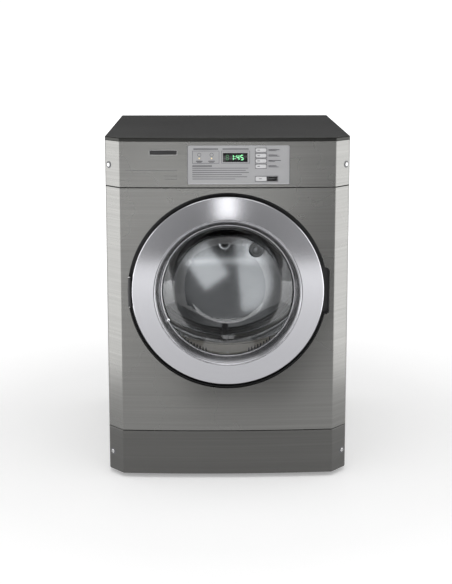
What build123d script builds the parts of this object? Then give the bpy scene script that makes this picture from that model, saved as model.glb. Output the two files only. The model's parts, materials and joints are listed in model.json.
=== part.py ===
from build123d import *
import math
import os

os.makedirs("parts", exist_ok=True)

# Commercial front-loading tumble dryer. Millimetres, +Z up, the door faces -Y, +X is the user's right.

# Cabinet
cabinet_width = 686.0
cabinet_height = 983.0
overall_depth = 745.0
door_bulge = 21.0                  # how far the door stands in front of the bowed front
collar_length = 30.0               # exhaust pipe behind the rear panel
front_y = -overall_depth / 2 + door_bulge
rear_y = overall_depth / 2 - collar_length
bow = 10.0                         # rise of the front's bow over its flat width
flat_half = 299.5
corner_cut = 43.5                  # the front's 45 degree corners
corner_round = 16.0
bend_round = 5.0
side_half = cabinet_width / 2
edge_y = front_y + bow
corner_y = edge_y + corner_cut
sheet = 1.5
flange = 14.0
front_back_y = corner_y + 9.0      # rear edge of the wrapped front panels
mitre = math.tan(math.radians(22.5))

# Heights
floor_gap = 12.5
kick_top = 140.8
panel_bottom = 142.4
panel_top = 842.8
fascia_bottom = 844.6
lid_bottom = 973.0
lid_round = 4.0
fascia_top = lid_bottom - 0.5

# Door and well
door_z = 549.0
well_r = 281.0
well_floor_y = -325.0
well_wall = 2.0
grip_half = 68.0                   # finger recess at the right of the well
grip_reach = 285.8
grip_round = 12.0
door_r = 270.5
door_back_y = -337.0
window_r = 205.0
window_inner_r = 190.0
window_depth = 28.0
door_front_y = -overall_depth / 2
glass_rear_y = -292.0
glass_wall = 4.0
hinge_x = -275.8
hinge_y = -348.0
knuckle_r = 4.0
pin_r = 1.9
hinge_half = 42.0

# Loading throat
throat_r = 214.0
bulkhead_y = -300.0
bulkhead_sheet = 1.2
collar_end_y = -244.5

# Drum and its drive
drum_r = 312.0
drum_front_y = -241.5
drum_rear_y = 255.0
drum_mouth_r = 226.0
drum_wall = 1.5
rear_bulkhead_y = 261.0
dish_rim_r = 275.0
dish_round = 640.0                  # spherical radius of the dished rear wall
dish_depth = dish_round - math.sqrt(dish_round**2 - dish_rim_r**2)
lamp_x = 107.0
lamp_z = 530.0
baffle_height = 55.0
roller_r = 38.0
roller_y = 226.0
roller_width = 20.0
roller_angle = 35.0
axle_r = 5.0
fit = 0.05                         # radial clearance of a running fit
gap = 0.3                          # clearance between parts that pass each other
belt_y = 42.0
belt_width = 8.0
belt_thickness = 3.0
motor_x = 190.0
motor_z = 122.0
motor_r = 60.0
pulley_r = 10.0
shaft_r = 6.0
idler_x = 110.0
idler_z = 127.0
idler_r = 20.0
stud_r = 4.0
pivot_x = 46.0
pivot_z = 165.0

# Air path
exhaust_z = 92.0
exhaust_r = 50.0
exhaust_inner_grow = 0.6           # the pipe inside the cabinet is that much wider than its collar
duct_wall = 2.0
duct_inlet_r = 55.0
grille_edge_half = 147.0           # the grille's flat arc: half its chord and its rise
grille_edge_rise = 29.0
grille_edge_r = (grille_edge_half**2 + grille_edge_rise**2) / (2 * grille_edge_rise)
grille_slot_x = 62.0
grille_slot_step = 8.6
grille_slots = 8
blower_front_y = -248.0
blower_rear_y = -185.0
blower_r = 90.0
grille_half = 150.0
grille_y = -270.0
grille_depth = 20.0
grille_crown_z = door_z - 178.0
filter_half = 125.0
filter_bottom = 190.0
filter_y = -266.0
filter_depth = 12.0

# Mains inlet
gland_x = -240.0
gland_z = 150.0
gland_r = 9.0
gland_hole_r = 11.0
terminal_half = 50.0
terminal_z = (180.0, 260.0)
terminal_depth = 16.0
terminal_wall = 3.0

# Controls
overlay_x = (-112.0, 171.0)
overlay_z = (854.5, 961.5)
overlay_thickness = 1.0
key_x = 90.8
key_zs = (948.7, 933.6, 918.8, 903.9)
key_size = (29.6, 10.5)
start_x = 106.5
start_z = 869.1
start_size = (61.0, 13.0)
key_proud = 0.8

# Feet
foot_x = 295.0
foot_front_y = -270.0
foot_rear_y = 300.0
foot_r = 19.0
foot_stud_r = 5.0


def block(x0, x1, y0, y1, z0, z1):
    return Pos((x0 + x1) / 2, (y0 + y1) / 2, (z0 + z1) / 2) * Box(x1 - x0, y1 - y0, z1 - z0)


def rod_y(x, z, r, y0, y1):
    return Pos(x, (y0 + y1) / 2, z) * Rot(90, 0, 0) * Cylinder(r, y1 - y0)


def rod_z(x, y, r, z0, z1):
    return Pos(x, y, (z0 + z1) / 2) * Cylinder(r, z1 - z0)


def ring_y(r_out, r_in, y0, y1, x=0.0, z=door_z):
    return rod_y(x, z, r_out, y0, y1) - rod_y(x, z, r_in, y0 - 1, y1 + 1)


def turned(points, x=0.0, z=door_z):
    """A solid of revolution about a Y axis from (radius, y) points."""
    return Pos(x, 0, z) * revolve(make_face(Polyline(*points, close=True)), Axis.Y, 360)


def upright(sketch, y0, y1):
    """A sketch drawn in (x, z), made solid between two Y planes."""
    return extrude(Plane.XZ.offset(-y1) * sketch, amount=y1 - y0)


def lying(sketch, z0, z1):
    return extrude(Pos(0, 0, z0) * sketch, amount=z1 - z0)


def bow_y(x):
    """Y of the bowed front at x."""
    radius = (flat_half**2 + bow**2) / (2 * bow)
    return front_y + radius - math.sqrt(radius**2 - x**2)


def front_outline(inset=0.0, back=front_back_y):
    """Plan of the bowed front with its 45 degree corners, closed by a straight back edge."""
    side = side_half - inset
    bend_x = flat_half - inset * mitre
    bend_y = edge_y + inset
    turn_y = corner_y + inset * mitre
    front = ThreePointArc((-bend_x, bend_y), (0, front_y + inset), (bend_x, bend_y))
    rest = Polyline(
        (bend_x, bend_y), (side, turn_y), (side, back), (-side, back), (-side, turn_y), (-bend_x, bend_y)
    )
    face = make_face(front + rest)
    turns = face.vertices().filter_by(lambda v: abs(v.Y - turn_y) < 0.01)
    face = fillet(turns, max(corner_round - inset, 1.0))
    bends = face.vertices().filter_by(lambda v: abs(v.Y - bend_y) < 0.01)
    return fillet(bends, max(bend_round - inset, 0.5))


def front_shell(z0, z1, edge_round):
    """A bent sheet panel with the front's plan and flanges turned in all round."""
    outer = lying(front_outline(), z0, z1)
    rims = outer.faces().sort_by(Axis.Z)[0].edges() + outer.faces().sort_by(Axis.Z)[-1].edges()
    rims = rims.filter_by(lambda e: e.center().Y < front_back_y - 0.01)
    outer = fillet(rims, edge_round)
    inner = lying(front_outline(sheet, front_back_y + 1), z0 + sheet, z1 - sheet)
    window = lying(front_outline(flange, front_back_y + 1), z0 - 1, z1 + 1)
    return outer - inner - window


def skin_patch(outline, thickness, lift=0.0):
    """A thin plate that follows the bowed front, cut to an outline in (x, z)."""
    z0 = fascia_bottom
    z1 = fascia_top
    plate = lying(front_outline(-lift - thickness), z0, z1) - lying(front_outline(-lift), z0, z1)
    return plate & upright(outline, front_y - 20, front_y + 20)


def well_shape(inset=0.0):
    """The door well seen from the front: a circle with the finger recess at its right."""
    reach = grip_reach - inset
    half = grip_half - inset
    recess = Pos(reach / 2, 0) * RectangleRounded(reach, 2 * half, grip_round - min(inset, 8))
    return Pos(0, door_z) * (Circle(well_r - inset) + recess)


def side_panel(side):
    plate = block(side_half - sheet, side_half, front_back_y + 0.5, rear_y, floor_gap, fascia_top)
    rear_flange = block(side_half - flange, side_half - sheet, rear_y - 2 * sheet, rear_y - sheet,
                        floor_gap, fascia_top)
    lower_flange = block(side_half - flange, side_half - sheet, front_back_y + 0.5, rear_y - 2 * sheet,
                         floor_gap, floor_gap + sheet)
    panel = plate + rear_flange + lower_flange
    return panel if side > 0 else mirror(panel, Plane.YZ)


def screw_spots():
    """Positions of the security screws on the 45 degree corners."""
    x = side_half - 12.0
    y = corner_y - 12.0
    return [(side * x, y, z, side) for side in (-1, 1) for z in (904.0, 67.0)]


def security_screw(x, y, z, side):
    head = Cylinder(6.0, 2.4, align=(Align.CENTER, Align.CENTER, Align.MIN))
    head = fillet(head.edges().sort_by(Axis.Z)[-1], 1.8)
    socket = Pos(0, 0, 1.0) * Cylinder(1.8, 2.0, align=(Align.CENTER, Align.CENTER, Align.MIN))
    return Pos(x, y, z) * Rot(0, 0, 45 * side) * Rot(90, 0, 0) * (head - socket)


def rear_screw_spots():
    spots = [(side * 325.0, z) for side in (-1, 1) for z in (40.0, 255.0, 470.0, 685.0, 900.0)]
    return spots + [(x, 955.0) for x in (-160.0, 160.0)]


def cabinet_screws():
    screws = [security_screw(*spot) for spot in screw_spots()]
    for x, z in rear_screw_spots():
        washer = rod_y(x, z, 6.5, rear_y, rear_y + 1.0)
        hexagon = upright(Pos(x, z) * RegularPolygon(4.6, 6), rear_y + 1.0, rear_y + 4.5)
        screws.append(washer + hexagon)
    return Compound(children=screws)


def front_panel():
    panel = front_shell(panel_bottom, panel_top, 1.4)
    lip = lying(front_outline(), door_z - 320, door_z + 293.0)
    lip &= upright(well_shape(-2.5), front_y - 1, -333.0)
    return panel + lip - upright(well_shape(), front_y - 20, front_back_y)


def door_well_ring():
    wall = upright(well_shape(0.2), -339.0, well_floor_y + well_wall)
    hollow = upright(well_shape(0.2 + well_wall), -340.0, well_floor_y)
    throat = rod_y(0, door_z, throat_r, -330.0, bulkhead_y + 1)
    sleeve = ring_y(throat_r + well_wall, throat_r, well_floor_y, bulkhead_y)
    hinge_notch = block(-well_r - 5, hinge_x + 8, -345.0, well_floor_y, door_z - hinge_half - 6,
                        door_z + hinge_half + 6)
    catch_slot = block(241.0, 259.0, -330.0, well_floor_y + 5, door_z - 16, door_z + 16)
    plunger_hole = rod_y(*switch_spot(), 3.3, -330.0, well_floor_y + 5)
    return wall - hollow - throat + sleeve - hinge_notch - catch_slot - plunger_hole


def switch_spot():
    return (177.0, door_z + 177.0)


def control_fascia():
    fascia = front_shell(fascia_bottom, fascia_top, 1.4)
    for x, z, size in key_table():
        fascia -= upright(Pos(x, z) * SlotOverall(size[0] + 1.0, size[1] + 1.0), front_y - 5, front_y + 20)
    return fascia


def key_table():
    keys = [(key_x, z, key_size) for z in key_zs]
    keys.append((start_x, start_z, start_size))
    return keys


def overlay_outline():
    width = overlay_x[1] - overlay_x[0]
    height = overlay_z[1] - overlay_z[0]
    centre = Pos(sum(overlay_x) / 2, sum(overlay_z) / 2)
    return centre * RectangleRounded(width, height, 7.0)


def control_overlay():
    outline = overlay_outline()
    for x, z, size in key_table():
        outline -= Pos(x, z) * SlotOverall(size[0] + 0.8, size[1] + 0.8)
    return skin_patch(outline, overlay_thickness)


def badge_plate():
    return skin_patch(Pos(-178.3, 942.0) * RectangleRounded(77.4, 13.7, 2.0), 1.0)


def key(x, z, size):
    """A push key: its cap stands through the fascia, its flange stays behind."""
    face_y = bow_y(x) - overlay_thickness - key_proud
    behind_y = bow_y(x) + sheet + 1.8
    cap = upright(Pos(x, z) * SlotOverall(*size), face_y, behind_y)
    cap = fillet(cap.faces().sort_by(Axis.Y)[0].edges(), 0.6)
    collar = upright(Pos(x, z) * SlotOverall(size[0] + 3.2, size[1] + 3.2), behind_y, behind_y + 1.5)
    stem = rod_y(x, z, 2.0, behind_y + 1.5, -330.0)
    return cap + collar + stem


def control_board():
    board = block(overlay_x[0], overlay_x[1] - 6, -326.0, -324.4, 860.0, 956.0)
    for x, z, size in key_table():
        board += block(x - 3, x + 3, -328.5, -326.0, z - 3, z + 3)
    display = block(-14.0, 54.0, bow_y(0) + sheet + 2, -326.0, 916.0, 941.0)
    return board + display


def top_cover():
    outer = lying(front_outline(0.0, rear_y), lid_bottom, cabinet_height)
    outer = fillet(outer.faces().sort_by(Axis.Z)[-1].edges(), lid_round)
    hollow = lying(front_outline(2.0, rear_y - 2.0), lid_bottom - 1, cabinet_height - 2.5)
    return outer - hollow


def kick_panel():
    return front_shell(floor_gap, kick_top, 1.4)


def vent_slots(x, z, count):
    slots = [Pos(x, z + 14.0 * i) * SlotOverall(110.0, 5.0) for i in range(count)]
    return upright(Sketch() + slots, rear_y - 5, rear_y + 5)


def rear_panel():
    panel = block(-side_half + sheet, side_half - sheet, rear_y - sheet, rear_y, floor_gap, fascia_top)
    panel -= rod_y(0, exhaust_z, exhaust_r + 1.0, rear_y - 5, rear_y + 5)
    panel -= rod_y(gland_x, gland_z, gland_hole_r, rear_y - 5, rear_y + 5)
    panel -= vent_slots(0, 700.0, 9)
    panel -= vent_slots(-150.0, 400.0, 6)
    panel -= vent_slots(150.0, 400.0, 6)
    return panel


def terminal_cover():
    z0, z1 = terminal_z
    cover = block(gland_x - terminal_half, gland_x + terminal_half, rear_y, rear_y + terminal_depth, z0, z1)
    cover = fillet(cover.faces().sort_by(Axis.Y)[-1].edges(), 4.0)
    inner = terminal_half - terminal_wall
    inner_y = rear_y + terminal_depth - terminal_wall
    return cover - block(gland_x - inner, gland_x + inner, rear_y - 1, inner_y, z0 + terminal_wall, z1 - terminal_wall)


def power_gland():
    flange_ring = ring_y(15.0, gland_r, rear_y, rear_y + 2.5, gland_x, gland_z)
    hexagon = Pos(gland_x, gland_z) * (RegularPolygon(12.5, 6) - Circle(gland_r))
    nut = upright(hexagon, rear_y + 2.5, rear_y + 9.0)
    neck = ring_y(gland_hole_r - 0.2, gland_r, rear_y - 8.0, rear_y, gland_x, gland_z)
    mouth = ring_y(gland_hole_r, gland_r, rear_y + 9.0, rear_y + 16.0, gland_x, gland_z)
    return flange_ring + nut + neck + mouth


def foot_spots():
    return [(side * foot_x, y) for y in (foot_front_y, foot_rear_y) for side in (-1, 1)]


def base_pan():
    x = side_half - flange - 1.0
    y0 = front_back_y + 2
    y1 = rear_y - 4.0
    pan = block(-x, x, y0, y1, floor_gap + sheet, floor_gap + 26.0)
    pan -= block(-x + 2, x - 2, y0 + 2, y1 - 2, floor_gap + sheet + 2, floor_gap + 30.0)
    for fx, fy in foot_spots():
        pan -= rod_z(fx, fy, foot_stud_r + fit, 0, 60)
    return pan


def foot(x, y):
    pad = rod_z(x, y, foot_r, 0, 5.0) + Pos(x, y, 6.5) * Cone(foot_r - 2, 9.0, 3.0)
    pad = fillet(pad.edges().sort_by(Axis.Z)[0], 1.0)
    return pad + rod_z(x, y, foot_stud_r, 8.0, 62.0)


def foot_lock_nuts():
    nuts = []
    for x, y in foot_spots():
        outline = Pos(x, y) * (RegularPolygon(9.5, 6) - Circle(foot_stud_r + fit))
        nuts.append(lying(outline, floor_gap + sheet + 2, floor_gap + sheet + 8))
    return Compound(children=nuts)


def front_bulkhead():
    x = side_half - 8.0
    plate = block(-x, x, bulkhead_y, bulkhead_y + bulkhead_sheet, 150.0, 838.0)
    plate -= rod_y(0, door_z, throat_r, bulkhead_y - 1, bulkhead_y + 5)
    collar = ring_y(throat_r + bulkhead_sheet, throat_r, bulkhead_y, collar_end_y)
    filter_slot = block(-filter_half - 2, filter_half + 2, filter_y - 2, filter_y + filter_depth + 2,
                        door_z - throat_r - 5, door_z - 150)
    return plate + collar - filter_slot


def rear_bulkhead():
    plate = block(-side_half + sheet, side_half - sheet, rear_bulkhead_y, rear_bulkhead_y + bulkhead_sheet,
                  150.0, 900.0)
    plate -= rod_y(0, door_z, dish_rim_r, rear_bulkhead_y - 1, rear_bulkhead_y + 5)
    bead = turned([(dish_rim_r, rear_bulkhead_y), (dish_rim_r + 4, rear_bulkhead_y - 4),
                   (dish_rim_r + 10, rear_bulkhead_y - 4), (dish_rim_r + 14, rear_bulkhead_y)])
    holes = [Pos(r * math.cos(a), door_z + r * math.sin(a)) * Circle(4.5) for r, a in inlet_holes()]
    holes.append(Pos(lamp_x, lamp_z) * Circle(22.5))
    cut = upright(Sketch() + holes, rear_bulkhead_y, rear_y)
    return plate + bead + (rear_dish() - cut)


def dish_y(r):
    """Y of the dished rear wall's inner face at a radius."""
    return rear_bulkhead_y + dish_depth - dish_round + math.sqrt(dish_round**2 - r**2)


def rear_dish():
    t = bulkhead_sheet
    half = dish_rim_r / 2
    inner = ThreePointArc((0, dish_y(0)), (half, dish_y(half)), (dish_rim_r, dish_y(dish_rim_r)))
    rim = Line((dish_rim_r, dish_y(dish_rim_r)), (dish_rim_r, dish_y(dish_rim_r) + t))
    outer = ThreePointArc((dish_rim_r, dish_y(dish_rim_r) + t), (half, dish_y(half) + t), (0, dish_y(0) + t))
    axis = Line((0, dish_y(0) + t), (0, dish_y(0)))
    return Pos(0, 0, door_z) * revolve(make_face(inner + rim + outer + axis), Axis.Y, 360)


def inlet_holes():
    """The hot air inlet: three arcs of holes high in the dish, as (radius, angle)."""
    spots = []
    for r in (178.0, 202.0, 226.0):
        step = 17.0 / r
        count = int(math.radians(84.0) / step)
        spots += [(r, math.radians(90) + step * (i - (count - 1) / 2)) for i in range(count)]
    return spots


def drum_seals():
    front = ring_y(drum_mouth_r - 0.5, throat_r + bulkhead_sheet, drum_front_y - 4, drum_front_y - gap)
    rear = ring_y(drum_r + 3, drum_r - 8, drum_rear_y + gap, rear_bulkhead_y)
    return Compound(children=[front, rear])


def drum_shell():
    """Rolled shell with its spun front head; three shallow beads run round the wall."""
    outer = [(drum_mouth_r, drum_front_y), (drum_r, drum_front_y), (drum_r, drum_rear_y)]
    inner = [(drum_r - drum_wall, drum_rear_y)]
    for y in (205.0, 110.0, -50.0, -140.0):
        inner += [(drum_r - drum_wall, y + 10), (drum_r - drum_wall - 3, y + 5),
                  (drum_r - drum_wall - 3, y - 5), (drum_r - drum_wall, y - 10)]
    inner += [(drum_r - drum_wall, drum_front_y + drum_wall), (drum_mouth_r + 3, drum_front_y + drum_wall),
              (drum_mouth_r + 3, drum_front_y + 6), (drum_mouth_r, drum_front_y + 6)]
    return turned(outer + inner)


def drum_baffles():
    """Three lifting fins with round crests, fixed to the wall."""
    root = drum_r - drum_wall - 4.2
    crest = root - baffle_height
    baffles = []
    for angle in (0, 120, 240):
        section = make_face(Polyline((-22, -root), (22, -root), (9, -crest), (-9, -crest), close=True))
        section = fillet(section.vertices().sort_by(Axis.Y)[-2:], 8.0)
        fin = extrude(Plane.XZ.offset(-(drum_rear_y - 25)) * section, amount=drum_rear_y - drum_front_y - 55)
        baffles.append(Pos(0, 0, door_z) * Rot(0, angle, 0) * fin)
    return Compound(children=baffles)


def roller_spots():
    reach = drum_r + roller_r + gap
    x = reach * math.sin(math.radians(roller_angle))
    return [(side * x, door_z - reach * math.cos(math.radians(roller_angle))) for side in (-1, 1)]


def roller(x, z):
    tread = ring_y(roller_r, axle_r + fit, roller_y, roller_y + roller_width, x, z)
    recess = ring_y(roller_r - 8, axle_r + 6, roller_y - 1, roller_y + 4, x, z)
    return tread - recess


def roller_shafts():
    shafts = []
    for x, z in roller_spots():
        shaft = rod_y(x, z, axle_r, roller_y - 6, rear_bulkhead_y)
        spacer = rod_y(x, z, 9.0, roller_y + roller_width + 1, rear_bulkhead_y)
        clip = rod_y(x, z, 7.5, roller_y - 6, roller_y - 1)
        shafts.append(shaft + spacer + clip)
    return Compound(children=shafts)


def belt_path(grow):
    circles = (Pos(0, door_z) * Circle(drum_r + gap + grow)).edges()
    circles += (Pos(motor_x, motor_z) * Circle(pulley_r + gap + grow)).edges()
    circles += (Pos(idler_x, idler_z) * Circle(idler_r + gap + grow)).edges()
    return make_hull(circles)


def drum_belt():
    return upright(belt_path(belt_thickness) - belt_path(0), belt_y, belt_y + belt_width)


def motor_body():
    can = rod_y(motor_x, motor_z, motor_r, -135.0, 5.0)
    can = fillet(can.edges().filter_by(GeomType.CIRCLE), 6.0)
    nose = rod_y(motor_x, motor_z, 22.0, -150.0, 20.0)
    return can + nose - rod_y(motor_x, motor_z, shaft_r + fit, -160, 30)


def motor_bracket():
    """Two saddles under the motor, and the plate and stud that carry the idler arm."""
    floor_z = floor_gap + sheet + 2
    bracket = block(motor_x - 55, motor_x + 55, -125.0, 60.0, floor_z, floor_z + 3)
    for y in (-120.0, -20.0):
        saddle = block(motor_x - 45, motor_x + 45, y, y + 10, floor_z + 3, motor_z - 30)
        bracket += saddle - rod_y(motor_x, motor_z, motor_r, y - 1, y + 11)
    outline = Polyline((58, floor_z), (150, floor_z), (140, 60), (78, 110), (pivot_x + 12, pivot_z + 8),
                       (pivot_x - 10, pivot_z + 6), (pivot_x - 4, pivot_z - 12), (64, 90), close=True)
    bracket += upright(make_face(outline), 60.0, 63.0)
    return bracket + rod_y(pivot_x, pivot_z, stud_r, 50.5, 60.0)


def motor_shaft():
    shaft = rod_y(motor_x, motor_z, shaft_r, -243.0, 58.0)
    pulley = rod_y(motor_x, motor_z, pulley_r, belt_y - 1, belt_y + belt_width + 1)
    rims = rod_y(motor_x, motor_z, pulley_r + 2.5, belt_y - 3, belt_y - 1)
    rims += rod_y(motor_x, motor_z, pulley_r + 2.5, belt_y + belt_width + 1, belt_y + belt_width + 3)
    return shaft + pulley + rims


def blower_wheel():
    back = ring_y(75.0, shaft_r, -199.0, -196.0, motor_x, motor_z)
    hub = ring_y(14.0, shaft_r, -235.0, -199.0, motor_x, motor_z)
    shroud = ring_y(75.0, 56.0, -240.0, -238.0, motor_x, motor_z)
    wheel = back + hub + shroud
    for i in range(16):
        blade = Rot(0, i * 22.5, 0) * block(55.0, 74.0, -239.0, -198.0, -1.0, 1.0)
        wheel += Pos(motor_x, 0, motor_z) * blade
    return wheel


def idler_arm():
    y = belt_y + belt_width + 3.5
    ends = (Pos(pivot_x, pivot_z) * Circle(9.0)).edges() + (Pos(idler_x, idler_z) * Circle(9.0)).edges()
    hull = make_hull(ends)
    arm = upright(hull, y, y + 3) - rod_y(pivot_x, pivot_z, stud_r + fit, y - 1, y + 4)
    return arm + rod_y(idler_x, idler_z, stud_r, belt_y - 4, y)


def idler_pulley():
    wheel = ring_y(idler_r, stud_r + fit, belt_y - 1, belt_y + belt_width + 1, idler_x, idler_z)
    wheel += ring_y(idler_r + 2.5, stud_r + fit, belt_y - 2.5, belt_y - 1, idler_x, idler_z)
    return wheel + ring_y(idler_r + 2.5, stud_r + fit, belt_y + belt_width + 1, belt_y + belt_width + 2.5,
                          idler_x, idler_z)


def idler_spring():
    """Torsion spring on the arm's stud, beside the arm."""
    coil = Helix(pitch=1.2, height=2.2, radius=6.4)
    wire = sweep(Plane(coil @ 0, z_dir=coil % 0) * Circle(0.5), coil)
    return Pos(pivot_x, 57.2, pivot_z) * Rot(-90, 0, 0) * wire


def heater_box():
    y0 = dish_y(150) + bulkhead_sheet + 1
    box = block(-150, 150, y0, rear_y - 3.2, 700.0, 830.0)
    return box - block(-148, 148, y0 - 1, rear_y - 5.0, 702.0, 828.0)


def heater_coil():
    rows = []
    for z in (720.0, 750.0, 780.0, 810.0):
        rows.append(Pos(0, rear_y - 15.0, z) * Rot(0, 90, 0) * (Cylinder(6.0, 280.0) - Cylinder(4.5, 290.0)))
    return Compound(children=rows)


def grille_outline(inset=0.0):
    """The crescent at the bottom of the throat, between the collar and a flat arc."""
    below = Pos(0, door_z) * Circle(throat_r - inset)
    above = Pos(0, grille_crown_z + grille_edge_r) * Circle(grille_edge_r + inset)
    return below - above - Pos(0, door_z + 150) * Rectangle(700, 600)


def filter_grille():
    grille = upright(grille_outline(), grille_y, grille_y + grille_depth)
    grille = grille.solids().sort_by(SortBy.VOLUME)[-1]
    reach = filter_half + gap
    pocket = block(-reach, reach, filter_y - gap, filter_y + filter_depth + gap, 300.0, 450.0)
    slots = []
    for side in (-1, 1):
        for i in range(grille_slots):
            x = grille_slot_x + grille_slot_step * i
            z = door_z - math.sqrt(throat_r**2 - x**2) + 13.0
            slots.append(Pos(side * x, z) * SlotOverall(12.0, 4.4, 90))
    return grille - pocket - upright(Sketch() + slots, grille_y - 1, grille_y + grille_depth + 1)


def lint_duct():
    """Flat duct under the throat: the filter hangs in it, and its foot feeds the blower."""
    half = 142.0
    outer_x = 280.0
    low_z = 34.0

    def plan(inset):
        points = ((-half + inset, 420), (half - inset, 420), (half - inset, 232 - inset),
                  (outer_x - inset, 205 - inset), (outer_x - inset, low_z + inset),
                  (90 + inset, low_z + inset), (-half + inset, 180 + inset))
        return make_face(Polyline(*points, close=True))
    hollow = upright(plan(duct_wall), grille_y, blower_front_y - duct_wall)
    duct = upright(plan(0), grille_y - duct_wall, blower_front_y) - hollow
    duct -= rod_y(motor_x, motor_z, duct_inlet_r, blower_front_y - 5, blower_front_y + 5)
    duct -= rod_y(0, door_z, throat_r + bulkhead_sheet, grille_y - 10, blower_front_y + 10)
    return duct.solids().sort_by(SortBy.VOLUME)[-1]


def lint_filter():
    """Frame with a screen of fine ribs; its curved top is the handle."""
    frame = upright(grille_outline(2.0), filter_y, filter_y + filter_depth)
    frame &= block(-filter_half, filter_half, -300, -200, 100, 600)
    body = block(-filter_half, filter_half, filter_y, filter_y + filter_depth, filter_bottom, 360.0)
    frame = (frame.solids().sort_by(SortBy.VOLUME)[-1] + body)
    for column in range(4):
        x = -112.0 + column * 58.0
        frame -= block(x, x + 50.0, filter_y - 1, filter_y + 5.4, filter_bottom + 12, 325.0)
        frame -= block(x, x + 50.0, filter_y + 6.6, filter_y + 20, filter_bottom + 12, 325.0)
    return frame


def blower_housing():
    def shape(inset):
        casing = rod_y(motor_x, motor_z, blower_r - inset, blower_front_y + inset, blower_rear_y - inset)
        return casing + block(-56 + inset, motor_x, blower_front_y + inset, blower_rear_y - inset,
                              36 + inset, 148 - inset)
    housing = shape(0) - shape(duct_wall)
    housing -= rod_y(motor_x, motor_z, duct_inlet_r, blower_front_y - 5, blower_front_y + 5)
    housing -= rod_y(motor_x, motor_z, shaft_r + 2, blower_rear_y - 5, blower_rear_y + 5)
    return housing - rod_y(0, exhaust_z, exhaust_r - sheet, blower_rear_y - 5, blower_rear_y + 5)


def exhaust_pipe():
    """The pipe from the blower, and its collar behind the rear panel."""
    bore = exhaust_r - sheet
    pipe = ring_y(exhaust_r + exhaust_inner_grow, bore, blower_rear_y, rear_y, 0, exhaust_z)
    return pipe + ring_y(exhaust_r, bore, rear_y, overall_depth / 2, 0, exhaust_z)


def drum_lamp():
    """Round lens in a stepped bezel; its socket goes through the dish."""
    y = dish_y(math.hypot(lamp_x, lamp_z - door_z) + 26) - 0.5
    return turned([(0, y - 12), (9, y - 11), (14, y - 8), (15, y - 5), (18, y - 5), (19, y - 8), (21, y - 8),
                   (22, y - 3), (26, y - 3), (26, y), (22, y), (22, y + 16), (0, y + 16)], lamp_x, lamp_z)


def door_catch():
    y0 = well_floor_y + well_wall
    body = block(240.0, 260.0, y0, bulkhead_y, door_z - 17, door_z + 17)
    return body - block(242.0, 258.0, y0 - 1, bulkhead_y - 4, door_z - 15, door_z + 15)


def door_strike():
    base = block(242.0, 258.0, door_back_y + 2, door_back_y + 4, door_z - 20, door_z + 20)
    prong = block(247.0, 253.0, door_back_y + 4, -310.0, door_z - 9, door_z + 9)
    return base + fillet(prong.edges().filter_by(Axis.Z).sort_by(Axis.Y)[-2:], 2.0)


def door_switch():
    x, z = switch_spot()
    y0 = well_floor_y + well_wall
    return block(x - 9, x + 9, y0, y0 + 16, z - 12, z + 12) - rod_y(x, z, 3.05, y0 - 1, y0 + 14)


def door_switch_plunger():
    x, z = switch_spot()
    plunger = rod_y(x, z, 3.0, door_back_y + 2 + 0.4, well_floor_y + well_wall + 9)
    return fillet(plunger.edges().sort_by(Axis.Y)[0], 0.8)


def knuckle(z0, z1):
    return rod_z(hinge_x, hinge_y, knuckle_r, z0, z1) - rod_z(hinge_x, hinge_y, pin_r + fit, z0 - 1, z1 + 1)


def hinge_bracket():
    """Two outer knuckles on legs, and a foot on the well's floor."""
    leg_x = hinge_x - 1.2
    low, high = door_z - hinge_half, door_z + hinge_half
    foot_plate = block(leg_x, hinge_x + 22, well_floor_y - 2, well_floor_y, low, high)
    for z0, z1 in ((-hinge_half, -15), (15, hinge_half)):
        leg = block(leg_x, leg_x + 2, hinge_y + 2, well_floor_y - 1, door_z + z0, door_z + z1)
        foot_plate += leg - rod_z(hinge_x, hinge_y, pin_r + fit, 0, 900)
        foot_plate += knuckle(door_z + z0, door_z + z1)
    return foot_plate


def hinge_pin():
    shank = rod_z(hinge_x, hinge_y, pin_r, door_z - hinge_half - 2, door_z + hinge_half)
    return shank + rod_z(hinge_x, hinge_y, 3.4, door_z + hinge_half, door_z + hinge_half + 2)


def door_hinge_arm():
    """Middle knuckle, a leg past the door's edge, and a plate on the door's back."""
    half = 14.6
    leg_x = hinge_x - 1.2
    leg = block(leg_x, leg_x + 2, hinge_y + 2, door_back_y + 4.5, door_z - half, door_z + half)
    leg -= rod_z(hinge_x, hinge_y, pin_r + fit, 0, 900)
    plate = block(leg_x, -242.0, door_back_y + 2, door_back_y + 4.5, door_z - half, door_z + half)
    plate += block(-266.0, -244.0, door_back_y + 2, door_back_y + 4.5, door_z - 45, door_z + 45)
    return leg + plate + knuckle(door_z - half, door_z + half)


def rounded(face, rounds):
    """A profile with each (x, y, radius) corner rounded."""
    for x, y, radius in rounds:
        corner = [v for v in face.vertices() if abs(v.X - x) < 0.01 and abs(v.Y - y) < 0.01]
        face = fillet(corner, radius)
    return face


def door_ring():
    """Dished ring: rounded rim, face rising to the window's lip, cone down to the glass."""
    rim = 6.0
    lip = 5.0
    lip_y = door_front_y - 1.0         # the lip's round takes 1 mm off its height
    wall = 2.5
    seat_y = door_front_y + window_depth
    profile = Polyline(
        (door_r, door_back_y), (door_r, front_y), (window_r, lip_y), (window_inner_r, seat_y),
        (window_inner_r, seat_y + wall), (window_inner_r + 5, seat_y + wall), (window_inner_r + 3, seat_y),
        (window_r + 1.5, door_front_y + wall + 0.6), (door_r - wall, front_y + wall),
        (door_r - wall, door_back_y), close=True)
    rounds = ((door_r, front_y, rim), (window_r, lip_y, lip), (door_r - wall, front_y + wall, rim - wall))
    face = rounded(make_face(profile), rounds)
    return Pos(0, 0, door_z) * revolve(face, Axis.Y, 360)


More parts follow.
